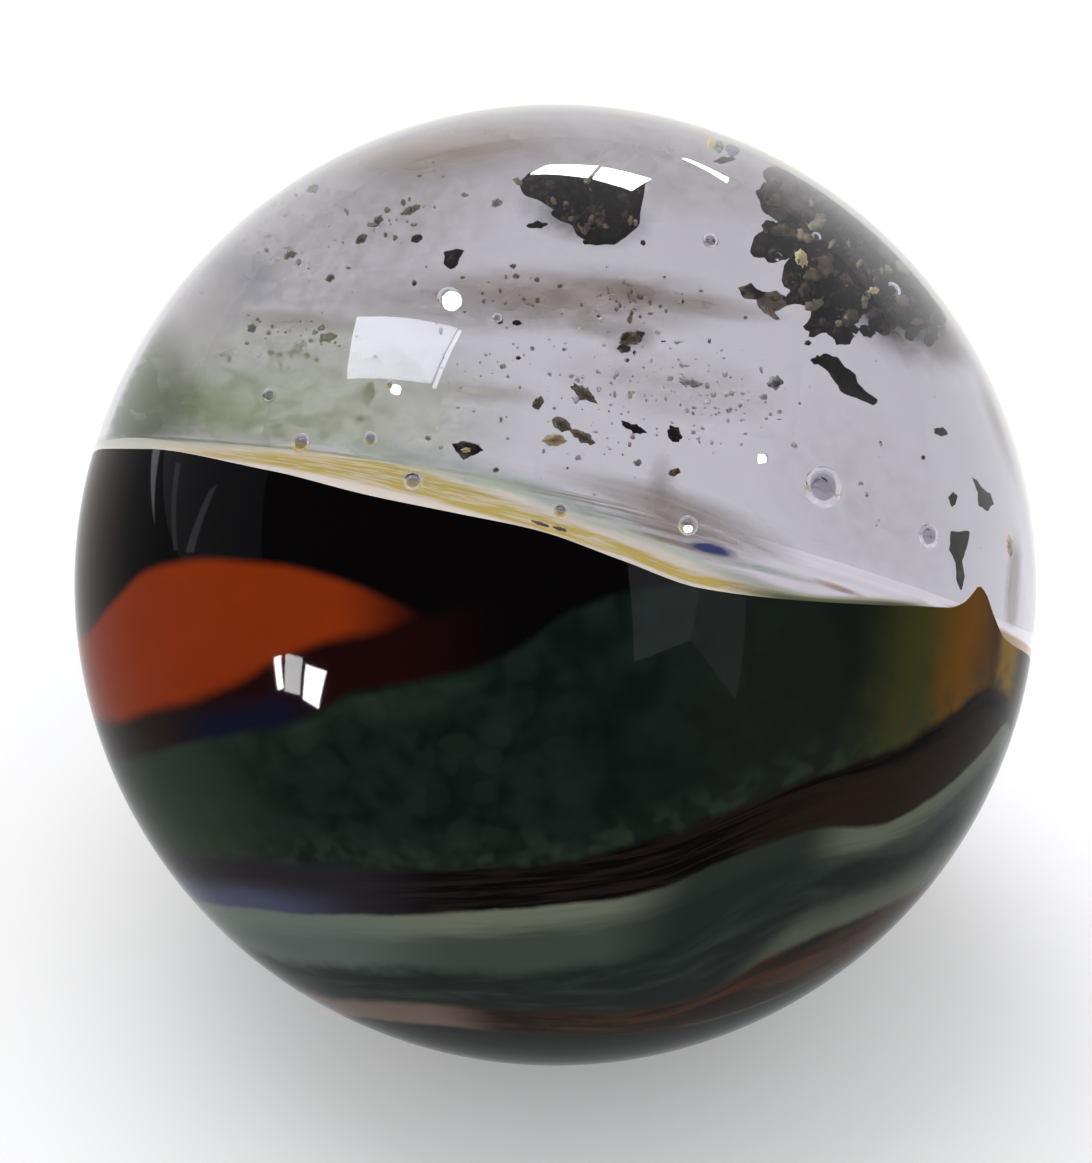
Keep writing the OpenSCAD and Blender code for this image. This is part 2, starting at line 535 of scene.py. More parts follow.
BLACK = rgb(0.0014, 0.0009, 0.0012)
MAROON = rgb(0.0105, 0.0016, 0.0016)
UMBER = rgb(0.0105, 0.0055, 0.0040)
# Brown of the left limb: a painted reflection of the bright surroundings
LIMB_REFLECTION_BROWN = rgb(0.032, 0.017, 0.010)
ORANGE = rgb(0.210, 0.025, 0.0030)
ORANGE_DEEP = rgb(0.178, 0.021, 0.0030)
NAVY = rgb(0.0040, 0.0045, 0.0150)
GREEN_DARK = rgb(0.0030, 0.0065, 0.0050)
GREEN_MID = rgb(0.0070, 0.0135, 0.0110)
GREEN_CELL = rgb(0.0108, 0.0172, 0.0136)
GREEN_GREY = rgb(0.0095, 0.0115, 0.0090)
GREEN_PALE = rgb(0.022, 0.034, 0.021)
OLIVE_EDGE = rgb(0.036, 0.036, 0.009)
AMBER = rgb(0.118, 0.048, 0.005)
YELLOW = rgb(0.190, 0.108, 0.008)
BROWN_BLACK = rgb(0.0018, 0.0008, 0.0008)
BROWN = rgb(0.0115, 0.0078, 0.0060)
RED_BROWN = rgb(0.0170, 0.0105, 0.0075)
BROWN_GREY = rgb(0.0190, 0.0165, 0.0210)
# Lavender of the lower left: a painted reflection of the pale table
TABLE_REFLECTION_LAVENDER = rgb(0.052, 0.055, 0.098)
OLIVE_PALE = rgb(0.130, 0.145, 0.105)
OLIVE_MIST = rgb(0.105, 0.132, 0.122)
OLIVE_DARK = rgb(0.044, 0.055, 0.044)
TEAL = rgb(0.0115, 0.0165, 0.0148)
RUST = rgb(0.046, 0.020, 0.010)
RUST_DARK = rgb(0.0120, 0.0075, 0.0055)
RUST_PALE = rgb(0.148, 0.104, 0.084)
TEAL_FOOT = rgb(0.010, 0.014, 0.012)
CREAM = rgb(0.920, 0.850, 0.720)
STRAW = rgb(0.690, 0.540, 0.145)
PALE_GREEN = rgb(0.680, 0.740, 0.600)
GREEN_FADE = rgb(0.110, 0.140, 0.080)
CLEAR_GREY = rgb(0.860, 0.840, 0.860)
SMOKE = rgb(0.330, 0.280, 0.220)
AMBER_FACE = rgb(0.330, 0.170, 0.045)

# How far the fine wander of a band's edge reaches, as a share of its broad wander
FINE_WANDER = 0.35


def skin_colour(s):
    """Bands of coloured glass on the skin, from the top down, with reflections painted on the left."""
    flow = s.attribute("flow", "Vector")
    turn = s.attribute("front_turn")
    spot = s.spot_in_mm()
    streak = s.noise(s.scaled(flow, (3.0, 3.0, 4.0)), 1.0, 4.0, 0.6, 0.4)
    fine_streak = s.noise(s.scaled(flow, (4.0, 4.0, 9.0)), 1.0, 4.0, 0.55, 0.6)
    wobble = s.noise(spot, 0.55, 3.0, 0.55)
    grain = s.noise(spot, 3.2, 3.0, 0.6)

    def above(name, wander):
        """Millimetres above an edge, with the edge's own wander."""
        shift = s.swing(wobble, wander)
        fine = s.swing(grain, wander * FINE_WANDER)
        return s.math("ADD", s.math("ADD", s.attribute(name), shift), fine)

    # Towards the left limb the black turns brown: painted reflection
    colour = s.mix(s.ramp(turn, -60, -80), BLACK, LIMB_REFLECTION_BROWN)
    below_orange = s.ramp(above("orange_foot", 0.25), 0.25, -0.35)
    under = s.mix(s.ramp(turn, -20, -5), MAROON, BLACK)
    under = s.mix(s.ramp(turn, -42, -60), under, UMBER)
    colour = s.mix(below_orange, colour, under)
    in_orange = s.times(s.ramp(above("orange_top", 0.10), 0.16, -0.20),
                        s.ramp(above("orange_foot", 0.25), -0.24, 0.26))
    orange = s.mix(s.ramp(streak, 0.25, 0.85), ORANGE, ORANGE_DEEP)
    orange = s.mix(s.ramp(turn, -28, -15), orange, MAROON)
    colour = s.mix(in_orange, colour, orange)
    over_green = s.attribute("green_top")
    navy_reach = s.times(s.ramp(turn, -58, -48), s.ramp(turn, -28, -36))
    near_green = s.math("ADD", over_green, s.times(streak, 0.5))
    navy = s.times(navy_reach, s.ramp(near_green, 1.3, 0.5))
    colour = s.mix(navy, colour, NAVY)
    green = green_glass(s, spot, turn)
    colour = s.mix(s.ramp(above("green_top", 0.22), 0.14, -0.20), colour, green)
    under_maroon = s.times(s.ramp(over_green, -1.3, -0.45), s.ramp(over_green, -0.05, -0.30))
    under_maroon = s.times(under_maroon, s.times(s.ramp(turn, -5, -14), s.ramp(turn, -42, -30)))
    colour = s.mix(s.times(under_maroon, s.ramp(streak, 0.30, 0.66, 0.10, 0.65)), colour, GREEN_PALE)
    side = s.math("ADD", turn, s.swing(wobble, 10.0))
    colour = s.mix(s.times(s.ramp(side, 37, 50), s.ramp(side, 96, 80)), colour, OLIVE_EDGE)
    colour = s.mix(s.times(s.ramp(side, 49, 58), s.ramp(side, 110, 84)), colour, AMBER)
    colour = s.mix(s.ramp(side, 58, 70, 0.0, 0.80), colour, UMBER)
    glint = s.times(s.ramp(turn, 66, 69), s.ramp(turn, 77, 72))
    colour = s.mix(s.times(glint, s.ramp(s.attribute("rim"), -1.6, -0.9)), colour, YELLOW)
    low_green = above("green_foot", 0.5)
    beads = s.noise(spot, 1.7, 1.0, 0.5)
    mottled_edge = s.times(s.ramp(low_green, 1.4, 0.2), s.ramp(beads, 0.44, 0.68, 0.10, 0.65))
    colour = s.mix(mottled_edge, colour, GREEN_PALE)
    brown = s.mix(s.ramp(fine_streak, 0.38, 0.66), BROWN_BLACK, BROWN)
    brown = s.mix(s.times(s.ramp(turn, 20, 44), s.ramp(low_green, -0.35, -0.85, 0.0, 0.8)), brown, RED_BROWN)
    brown = s.mix(s.ramp(turn, -14, -34, 0.0, 0.8), brown, BROWN_GREY)
    # Lower left of the brown band: lavender painted reflection of the pale table
    table_reflection = s.times(s.ramp(turn, -30, -52), s.ramp(above("brown_foot", 0.4), 1.1, 0.2))
    brown = s.mix(table_reflection, brown, TABLE_REFLECTION_LAVENDER)
    colour = s.mix(s.ramp(low_green, 0.12, -0.24), colour, brown)
    sunk = s.math("ADD", s.ramp(s.attribute("brown_foot"), -0.2, -1.5), s.times(fine_streak, 0.9))
    olive = s.mix(s.ramp(sunk, 0.35, 1.35), OLIVE_PALE, OLIVE_DARK)
    olive = s.mix(s.ramp(turn, -16, -44, 0.0, 0.6), olive, OLIVE_MIST)
    olive = s.mix(s.times(s.ramp(turn, 6, 22), s.ramp(turn, 46, 36, 0.25, 0.92)), olive, TEAL)
    colour = s.mix(s.ramp(above("brown_foot", 0.22), 0.06, -0.14), colour, olive)
    teal = s.mix(s.ramp(streak, 0.40, 0.80, 0.0, 0.5), TEAL, OLIVE_DARK)
    colour = s.mix(s.ramp(above("olive_foot", 0.9), 0.30, -0.45), colour, teal)
    pale_right = s.times(s.ramp(turn, 34, 46), s.ramp(above("rust_top", 0.6), 1.9, 0.4))
    colour = s.mix(s.times(pale_right, 0.50), colour, OLIVE_PALE)
    rust = s.mix(s.ramp(streak, 0.30, 0.62), RUST, RUST_DARK)
    rust = s.mix(s.ramp(turn, -14, -34, 0.0, 0.8), rust, RUST_PALE)
    in_rust = s.times(s.ramp(above("rust_top", 0.35), 0.22, -0.26),
                      s.ramp(above("rust_foot", 0.3), -0.18, 0.22))
    colour = s.mix(in_rust, colour, rust)
    foot = s.mix(s.ramp(fine_streak, 0.40, 0.66), TEAL_FOOT, TEAL)
    colour = s.mix(s.ramp(above("rust_foot", 0.3), 0.12, -0.22), colour, foot)
    return colour


def green_glass(s, spot, turn):
    """Dark green glass with the soft cells of a crackled layer under the surface."""
    drift = s.node("ShaderNodeTexNoise", {"Vector": spot, "Scale": 0.9, "Detail": 2.0}).outputs["Color"]
    drift = s.scaled(drift, (0.7, 0.7, 0.7))
    bent = s.node("ShaderNodeVectorMath", {0: spot, 1: drift}, operation="ADD").outputs[0]
    cell = s.node("ShaderNodeTexVoronoi", {"Vector": bent, "Scale": 1.0, "Randomness": 0.85}, feature="F1")
    tone = s.node("ShaderNodeSeparateColor", {"Color": cell.outputs["Color"]}).outputs[0]
    mottle = s.noise(spot, 1.0, 2.0, 0.50)
    body = s.mix(s.ramp(mottle, 0.34, 0.68), GREEN_DARK, GREEN_MID)
    body = s.mix(s.ramp(turn, 6, 22, 0.0, 0.75), body, GREEN_GREY)
    raised = s.times(s.ramp(cell.outputs["Distance"], 0.58, 0.34), s.ramp(tone, 0.1, 0.9, 0.20, 0.70))
    raised = s.times(raised, s.ramp(turn, 30, 8, 0.25, 1.0))
    body = s.mix(raised, body, GREEN_CELL)
    broad = s.noise(spot, 0.22, 2.0, 0.5)
    body = s.mix(s.ramp(broad, 0.50, 0.72, 0.0, 0.5), body, GREEN_DARK)
    body = s.mix(s.ramp(turn, -34, -58, 0.0, 0.75), body, GREEN_PALE)
    return body


# Ripples: waves per millimetre, strength, depth in metres
SKIN_RIPPLE = (0.35, 0.06, 0.05 * MM)
GLASS_RIPPLE = (0.25, 0.02, 0.03 * MM)
SKIN_GLOSS = 0.014
SKIN_ROUGHNESS = 0.035


def make_skin_material():
    """Fire-polished opaque glass in streaky bands."""
    s = Shader("coloured_glass_skin")
    colour = skin_colour(s)
    glass = s.node("ShaderNodeBsdfPrincipled", {
        "Base Color": colour, "Roughness": SKIN_ROUGHNESS, "IOR": GLASS_INDEX,
        "Specular IOR Level": SKIN_GLOSS, "Normal": s.ripple(*SKIN_RIPPLE)})
    return s.finish(glass.outputs["BSDF"])


def make_face_material():
    """The upper face: cream at the rim, yellow streaks, then pale green and a smoky film."""
    s = Shader("coloured_glass_upper_face")
    flow = s.attribute("flow", "Vector")
    strip = s.attribute("strip")
    turn = s.attribute("front_turn")
    spot = s.spot_in_mm()
    streak = s.noise(s.scaled(flow, (3.5, 3.5, 7.0)), 1.0, 3.0, 0.58, 0.4)
    fine = s.noise(s.scaled(flow, (8.0, 8.0, 26.0)), 1.0, 3.0, 0.6, 0.3)
    drift = s.noise(s.scaled(spot, (0.22, 0.9, 0.9)), 1.0, 4.0, 0.6, 0.6)
    level = s.math("ADD", strip, s.swing(streak, 0.7))
    colour = s.mix(s.ramp(strip, 0.08, 0.22), CREAM, STRAW)
    colour = s.mix(s.ramp(fine, 0.46, 0.62, 0.0, 0.60), colour, CREAM)
    colour = s.mix(s.ramp(level, 0.62, 0.86), colour, CREAM)
    colour = s.mix(s.ramp(level, 0.84, 1.10), colour, PALE_GREEN)
    colour = s.mix(s.ramp(turn, -44, -60, 0.0, 0.60), colour, CREAM)
    colour = s.mix(s.ramp(turn, -56, -70, 0.0, 0.75), colour, PALE_GREEN)
    film = s.mix(s.ramp(drift, 0.36, 0.64), CLEAR_GREY, SMOKE)
    film = s.mix(s.ramp(turn, -2, -30, 0.0, 0.75), film, PALE_GREEN)
    film = s.mix(s.ramp(fine, 0.55, 0.70, 0.0, 0.35), film, SMOKE)
    film = s.mix(s.ramp(turn, 16, 32, 0.0, 0.85), film, CLEAR_GREY)
    colour = s.mix(s.ramp(level, 1.05, 1.45), colour, film)
    colour = s.mix(s.times(s.ramp(turn, 18, 29), s.ramp(strip, 1.9, 0.1)), colour, GREEN_FADE)
    colour = s.mix(s.times(s.ramp(turn, 36, 50), s.ramp(strip, 1.4, 0.5)), colour, OLIVE_EDGE)
    colour = s.mix(s.times(s.ramp(turn, 48, 60), s.ramp(strip, 2.2, 0.8)), colour, AMBER_FACE)
    layer = s.node("ShaderNodeBsdfPrincipled", {
        "Base Color": colour, "Roughness": 0.6, "Specular IOR Level": 0.0})
    return s.finish(layer.outputs["BSDF"])


# The clear glass: the whole ball, with the gas bubbles of the CAD solid as inner shells

BALL_SUBDIVISIONS = 7
BUBBLE_SUBDIVISIONS = 4
WELD_DISTANCE = 1e-6


def cad_bubbles():
    """Centre and radius of each closed void of the CAD solid, in metres."""
    form = bmesh.new()
    form.from_mesh(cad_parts["marble"].data)
    bmesh.ops.remove_doubles(form, verts=form.verts, dist=WELD_DISTANCE)
    left = set(form.verts)
    shells = []
    while left:
        shell = [left.pop()]
        for vertex in shell:
            for edge in vertex.link_edges:
                other = edge.other_vert(vertex)
                if other in left:
                    left.remove(other)
                    shell.append(other)
        spots = np.array([v.co for v in shell])
        shells.append(((spots.min(0) + spots.max(0)) / 2, (spots.max(0) - spots.min(0)).max() / 2))
    form.free()
    # Largest first, and shells of one size by place, so that the order is the same in each run
    shells.sort(key=lambda shell: (-shell[1], *shell[0]))
    return shells[1:]


def make_clear_glass(material):
    form = bmesh.new()
    bmesh.ops.create_icosphere(form, subdivisions=BALL_SUBDIVISIONS, radius=BALL_RADIUS)
    bmesh.ops.translate(form, vec=BALL_CENTRE, verts=form.verts)
    for centre, radius in cad_bubbles():
        made = bmesh.ops.create_icosphere(form, subdivisions=BUBBLE_SUBDIVISIONS, radius=radius)
        bmesh.ops.translate(form, vec=Vector(centre), verts=made["verts"])
        walls = {wall for vertex in made["verts"] for wall in vertex.link_faces}
        bmesh.ops.reverse_faces(form, faces=list(walls))
    mesh = bpy.data.meshes.new("clear_glass")
    form.to_mesh(mesh)
    form.free()
    mesh.polygons.foreach_set("use_smooth", [True] * len(mesh.polygons))
    mesh.materials.append(material)
    return put_in_scene("clear_glass", mesh)


# The glass's faint lavender tint, darkened so that the floor seen through the ball looks shaded: part tint,
# part painted shade
GLASS_TINT_AND_SHADE = rgb(0.508, 0.492, 0.541)
GLASS_GLEAM = rgb(0.24, 0.24, 0.27)
GLASS_SHADOW = rgb(0.93, 0.92, 0.95)


def make_glass_material():
    """Clear glass with a faint ripple and a tint darkened as painted shade; lamps shine straight through it.
    """
    s = Shader("clear_glass")
    glass = s.node("ShaderNodeBsdfPrincipled", {
        "Base Color": GLASS_TINT_AND_SHADE, "Roughness": 0.0, "IOR": GLASS_INDEX, "Transmission Weight": 1.0,
        "Specular Tint": GLASS_GLEAM, "Normal": s.ripple(*GLASS_RIPPLE)})
    through = s.node("ShaderNodeBsdfTransparent", {"Color": GLASS_SHADOW})
    shadow = s.node("ShaderNodeLightPath").outputs["Is Shadow Ray"]
    both = s.node("ShaderNodeMixShader", {0: shadow, 1: glass.outputs[0], 2: through.outputs[0]})
    return s.finish(both.outputs[0])


# Ash in the clear glass: lumps seen between named pixels, at a share of the way through the glass

ASH_DARK = (0.013, 0.010, 0.008)
ASH_BROWN = (0.190, 0.150, 0.110)
ASH_GREY = (0.420, 0.400, 0.390)
ASH_TAN = (0.640, 0.520, 0.300)
ASH_UMBER = (0.060, 0.044, 0.032)
FLECK_YELLOW = (0.760, 0.640, 0.160)
FLECK_GREEN = (0.200, 0.330, 0.140)
ASH_OLIVE = (0.200, 0.200, 0.110)
ASH_SLATE = (0.170, 0.190, 0.260)
OUTLINE_POINTS = 72
LUMP_RINGS = 6
LIMB_SHARE = 0.985
BULGE_SPREAD = (0.8, 1.2)

# Outlines of the lumps that have a shape of their own
TOP_CLUMP = [
    (518, 182), (526, 175), (563, 172), (645, 180), (645, 194), (640, 221), (626, 237), (615, 245),
    (592, 246), (578, 235), (574, 225), (559, 221), (549, 215), (553, 209), (538, 200), (526, 196),
]
RIGHT_CLUMP = [
    (767, 180), (788, 172), (813, 184), (842, 203), (870, 226), (894, 249), (917, 276), (938, 305),
    (956, 338), (938, 338), (917, 342), (897, 337), (890, 348), (880, 333), (855, 331), (834, 335),
    (820, 325), (809, 308), (795, 296), (797, 283), (790, 267), (772, 252), (765, 238), (767, 225),
    (774, 217), (763, 204),
]
BRANCHED_FLAKE = [
    (738, 288), (751, 282), (757, 290), (768, 292), (776, 290), (784, 296), (790, 304), (784, 308),
    (774, 312), (780, 319), (776, 321), (768, 315), (759, 308), (757, 300), (749, 296), (745, 299),
]
LONG_FLAKE = [
    (811, 359), (826, 354), (838, 358), (851, 371), (859, 384), (867, 392), (877, 399), (872, 405),
    (862, 401), (848, 395), (835, 385), (828, 371),
]
WAISTED_FLAKE = [
    (951, 531), (970, 531), (967, 548), (962, 560), (965, 578), (961, 591), (956, 580), (956, 563),
    (949, 550),
]
CURVED_FLAKE = [(444, 252), (454, 249), (465, 250), (460, 257), (458, 265), (450, 270), (444, 264)]
DIAMOND_FLAKE = [(452, 444), (463, 441), (474, 443), (484, 450), (474, 455), (464, 460), (457, 453)]
TAILED_FLAKE = [
    (972, 477), (977, 480), (982, 488), (990, 493), (994, 504), (987, 511), (978, 505), (978, 494),
]

# Outlined lumps: outline, depth share, thickness in mm, raggedness, colour
OUTLINED_LUMPS = [
    (TOP_CLUMP, 0.50, 0.30, 0.05, ASH_DARK),
    (BRANCHED_FLAKE, 0.55, 0.16, 0.07, ASH_BROWN),
    (LONG_FLAKE, 0.50, 0.16, 0.06, ASH_DARK),
    (WAISTED_FLAKE, 0.40, 0.12, 0.05, ASH_DARK),
    (CURVED_FLAKE, 0.45, 0.12, 0.06, ASH_DARK),
    (DIAMOND_FLAKE, 0.24, 0.10, 0.07, ASH_DARK),
    (TAILED_FLAKE, 0.42, 0.12, 0.06, ASH_DARK),
]

# Colours that a clump draws from
LUMP_TINTS = (ASH_DARK,) * 3 + (ASH_UMBER,)
CRUMB_TINTS = (ASH_DARK,) * 5 + (ASH_UMBER,) * 3 + (ASH_BROWN, ASH_OLIVE)

# Clumps of crumbs: outline, crumbs, least and greatest size in pixels, depth share, colours
CLUMPS = [
    (TOP_CLUMP, 46, 6, 18, 0.475, CRUMB_TINTS),
    (RIGHT_CLUMP, 60, 34, 62, 0.450, LUMP_TINTS),
    (RIGHT_CLUMP, 130, 8, 26, 0.425, CRUMB_TINTS),
]
CRUMB_POINTS = 22
CRUMB_RINGS = 3
CRUMB_BREADTH = (0.45, 0.9)
CRUMB_THICKNESS = 0.3
CRUMB_RAG = 0.10
CRUMB_DEPTH_SPREAD = 0.02
FLAKE_THICKNESS = 0.5
FLAKE_RAG = 0.09

# Plain flakes: [pixel across, pixel down, length, width, angle, depth share, colour]
PLAIN_FLAKES = [
    (417, 239, 13, 9, 20, 0.45, ASH_DARK), (369, 392, 24, 13, 80, 0.40, ASH_BROWN),
    (360, 419, 9, 8, 0, 0.35, ASH_DARK), (496, 470, 7, 5, 20, 0.25, ASH_DARK),
    (428, 438, 7, 5, 0, 0.30, ASH_GREY), (538, 403, 15, 10, 60, 0.40, ASH_BROWN),
    (583, 393, 34, 12, -35, 0.45, ASH_BROWN), (562, 424, 24, 14, -30, 0.40, ASH_BROWN),
    (583, 437, 30, 11, -30, 0.38, ASH_BROWN), (554, 440, 26, 14, 0, 0.42, ASH_TAN),
    (634, 428, 30, 9, -25, 0.40, ASH_DARK), (675, 434, 20, 14, -50, 0.40, ASH_DARK),
    (638, 463, 10, 8, 0, 0.30, ASH_GREY), (675, 472, 14, 8, 20, 0.30, ASH_BROWN),
    (775, 382, 17, 15, 30, 0.50, ASH_GREY), (763, 397, 9, 7, 0, 0.50, ASH_GREY),
    (941, 432, 15, 10, -15, 0.42, ASH_DARK), (953, 499, 9, 16, 0, 0.40, ASH_DARK),
    (537, 225, 22, 8, 5, 0.48, ASH_DARK), (643, 243, 6, 6, 0, 0.48, ASH_DARK),
    (252, 328, 11, 9, 0, 0.42, ASH_DARK), (378, 220, 14, 9, 50, 0.48, ASH_BROWN),
    (411, 210, 22, 8, 25, 0.48, ASH_BROWN), (361, 239, 15, 9, 40, 0.48, ASH_BROWN),
    (313, 189, 13, 9, 20, 0.50, ASH_BROWN), (290, 255, 14, 8, 20, 0.48, ASH_BROWN),
    (330, 278, 10, 8, 40, 0.46, ASH_BROWN), (271, 353, 7, 6, 0, 0.40, ASH_BROWN),
    (280, 355, 8, 5, -20, 0.40, ASH_BROWN), (328, 337, 20, 10, 10, 0.44, ASH_BROWN),
    (222, 355, 6, 5, 0, 0.40, ASH_BROWN), (499, 321, 9, 7, 0, 0.45, ASH_DARK),
    (517, 323, 11, 6, 0, 0.45, ASH_DARK), (632, 338, 30, 17, 15, 0.52, ASH_BROWN),
    (624, 349, 15, 9, 0, 0.50, ASH_DARK), (497, 203, 13, 8, 20, 0.55, ASH_GREY),
    (690, 382, 26, 10, -15, 0.48, ASH_GREY), (808, 343, 8, 6, 0, 0.50, ASH_DARK),
    (817, 360, 14, 9, 10, 0.50, ASH_DARK), (874, 290, 12, 9, 0, 0.36, ASH_TAN),
    (801, 258, 14, 22, 20, 0.36, ASH_TAN), (1010, 545, 8, 26, 8, 0.30, ASH_TAN),
    (466, 450, 10, 6, 0, 0.20, ASH_TAN), (711, 142, 9, 12, -10, 0.40, FLECK_YELLOW),
    (719, 147, 11, 15, -15, 0.41, FLECK_GREEN), (733, 150, 18, 14, 20, 0.42, ASH_SLATE),
    (725, 160, 24, 7, 10, 0.41, ASH_DARK), (541, 524, 22, 4, -18, 0.03, ASH_BROWN),
    (560, 529, 16, 4, -18, 0.03, ASH_BROWN),
]

# Fine dust: [pixel across, pixel down, half length, half width, angle, specks, depth share, colour]
DUST_FIELDS = [
    (690, 385, 85, 45, -12, 90, 0.46, ASH_GREY), (590, 380, 90, 60, 0, 70, 0.46, ASH_GREY),
    (395, 215, 70, 22, 35, 30, 0.48, ASH_BROWN), (285, 330, 70, 16, -4, 26, 0.42, ASH_BROWN),
    (290, 355, 70, 12, 0, 18, 0.40, ASH_BROWN), (640, 300, 90, 20, -6, 50, 0.50, ASH_BROWN),
    (500, 300, 80, 26, 0, 36, 0.50, ASH_BROWN), (560, 445, 120, 40, -10, 30, 0.36, ASH_GREY),
    (730, 405, 60, 30, 0, 30, 0.46, ASH_GREY), (480, 370, 60, 40, 0, 20, 0.42, ASH_GREY),
    (300, 250, 80, 60, 30, 34, 0.48, ASH_GREY), (900, 470, 60, 70, 0, 10, 0.40, ASH_GREY),
]
DUST_SPREAD = 0.55
DUST_DEPTH_SPREAD = 0.06
SPECK_RADII_PX = (0.6, 0.8, 1.0, 1.4, 2.0)
SPECK_SQUASH = (0.6, 1.4)
SPECK_KNOBS = (0.75, 1.25)
SPECK_SHADE = (0.8, 1.5)


def turned(px, py, along, across, angle):
    """The pixel so far along and across from another, on axes turned by an angle in degrees."""
    turn = math.radians(angle)
    return (px + along * math.cos(turn) + across * math.sin(turn),
            py - along * math.sin(turn) + across * math.cos(turn))


def keep_in_ball(px, py):
    """Pixels drawn in toward the ball's middle where they would leave it."""
    across, down = px - BALL_PX_X, py - BALL_PX_Y
    reach = np.maximum(np.hypot(across, down) / (BALL_PX_RADIUS * LIMB_SHARE), 1)
    return BALL_PX_X + across / reach, BALL_PX_Y + down / reach


RAG_WAVES = (5, 9, 14, 22)
RAG_DEPTH = 3
RAG_STRENGTH = (0.5, 1.0)


def ragged(outline, rag, count):
    """A closed outline taken round in even steps and roughened in and out from its middle."""
    corners = np.array(outline, float)
    loop = np.vstack((corners, corners[:1]))
    way = np.concatenate(((0,), np.cumsum(np.hypot(*np.diff(loop, axis=0).T))))
    steps = np.linspace(0, way[-1], count, endpoint=False)
    line = np.stack((np.interp(steps, way, loop[:, 0]), np.interp(steps, way, loop[:, 1])), -1)
    middle = line.mean(0)
    size = np.hypot(*(line - middle).T).max()
    round_way = np.linspace(0, 2 * math.pi, count, endpoint=False)
    rough = np.zeros(count)
    for waves in RAG_WAVES:
        shift = RNG.uniform(0, 2 * math.pi)
        rough += np.sin(waves * round_way + shift) * RNG.uniform(*RAG_STRENGTH) * RAG_DEPTH / waves
    outward = (line - middle) / np.maximum(np.hypot(*(line - middle).T), LEAST_LENGTH)[:, None]
    return line + outward * (rough * rag * size)[:, None], middle


OVAL_CORNERS = 17
OVAL_LENGTH_SPREAD = (0.70, 1.10)
OVAL_WIDTH_SPREAD = (0.65, 1.15)


def oval(px, py, length, width, angle):
    """A rough oval outline, in pixels."""
    outline = []
    for k in range(OVAL_CORNERS):
        way = 2 * math.pi * k / OVAL_CORNERS
        along = math.cos(way) * length / 2 * RNG.uniform(*OVAL_LENGTH_SPREAD)
        across = math.sin(way) * width / 2 * RNG.uniform(*OVAL_WIDTH_SPREAD)
        outline.append(turned(px, py, along, across, angle))
    return outline


class Heap:
    """Many small closed shapes gathered into one mesh."""

    def __init__(self):
        self.points = []
        self.faces = []
        self.tints = []

    def add(self, points, faces, tint):
        first = len(self.points)
        self.points += [tuple(p) for p in points]
        self.faces += [tuple(first + k for k in f) for f in faces]
        self.tints += [(*tint, 1.0)] * len(points)

    def build(self, name, material):
        piece = new_mesh_object(name, self.points, self.faces, (material,))
        add_layer(piece.data, "FLOAT_COLOR", "tint", self.tints)
        return piece


def add_lump(heap, outline, share, thickness_mm, rag, tint, count=OUTLINE_POINTS, ring_count=LUMP_RINGS):
    """A closed flat lump whose outline is what is seen, bulged to both sides along the line of sight."""
    line, middle = ragged(outline, rag, count)
    middle_px = keep_in_ball(middle[0], middle[1])
    share = share_over_face(*middle_px, share)
    half = thickness_mm * MM / BALL_RADIUS / 2
    points = []
    for side in (1, -1):
        for k in range(1, ring_count + 1):
            part = k / ring_count
            spots = middle + (line - middle) * part
            px, py = keep_in_ball(spots[:, 0], spots[:, 1])
            rough = np.array([RNG.uniform(*BULGE_SPREAD) for _ in range(count)])
            bulge = half * math.sqrt(1 - part * part) * rough
            points.append(inside_glass(px, py, share + side * bulge))
    front_middle = inside_glass(*middle_px, share + half)
    back_middle = inside_glass(*middle_px, share - half)
    rings = np.concatenate(points)
    faces = []
    around = [(k, (k + 1) % count) for k in range(count)]
    back = ring_count * count
    top, low = 2 * back, 2 * back + 1
    faces += [(top, k, j) for k, j in around]
    faces += [(low, back + j, back + k) for k, j in around]
    for ring_no in range(ring_count - 1):
        a, b = ring_no * count, (ring_no + 1) * count
        faces += [(a + k, b + k, b + j, a + j) for k, j in around]
        last = ring_no == ring_count - 2
        far = b if last else back + b
        faces += [(back + a + k, back + a + j, far + j, far + k) for k, j in around]
    heap.add(np.vstack((rings, front_middle[None], back_middle[None])), faces, tint)


def inside_outline(px, py, outline):
    """Whether a pixel lies inside a closed outline."""
    inside = False
    for (ax, ay), (bx, by) in zip(outline, outline[1:] + outline[:1]):
        if (ay > py) != (by > py) and px < ax + (py - ay) / (by - ay) * (bx - ax):
            inside = not inside
    return inside


def add_clump(heap, outline, count, least, greatest, share, tints):
    """Crumbs of many tints crowded inside an outline."""
    across = [p[0] for p in outline]
    down = [p[1] for p in outline]
    placed = 0
    while placed < count:
        px, py = RNG.uniform(min(across), max(across)), RNG.uniform(min(down), max(down))
        if not inside_outline(px, py, outline):
            continue
        size = least + (greatest - least) * RNG.random() ** 2
        shape = oval(px, py, size, size * RNG.uniform(*CRUMB_BREADTH), RNG.uniform(0, 180))
        depth = share + RNG.uniform(-CRUMB_DEPTH_SPREAD, CRUMB_DEPTH_SPREAD)
        thickness = size * MM_PER_PX * CRUMB_THICKNESS
        add_lump(heap, shape, depth, thickness, CRUMB_RAG, RNG.choice(tints), CRUMB_POINTS, CRUMB_RINGS)
        placed += 1


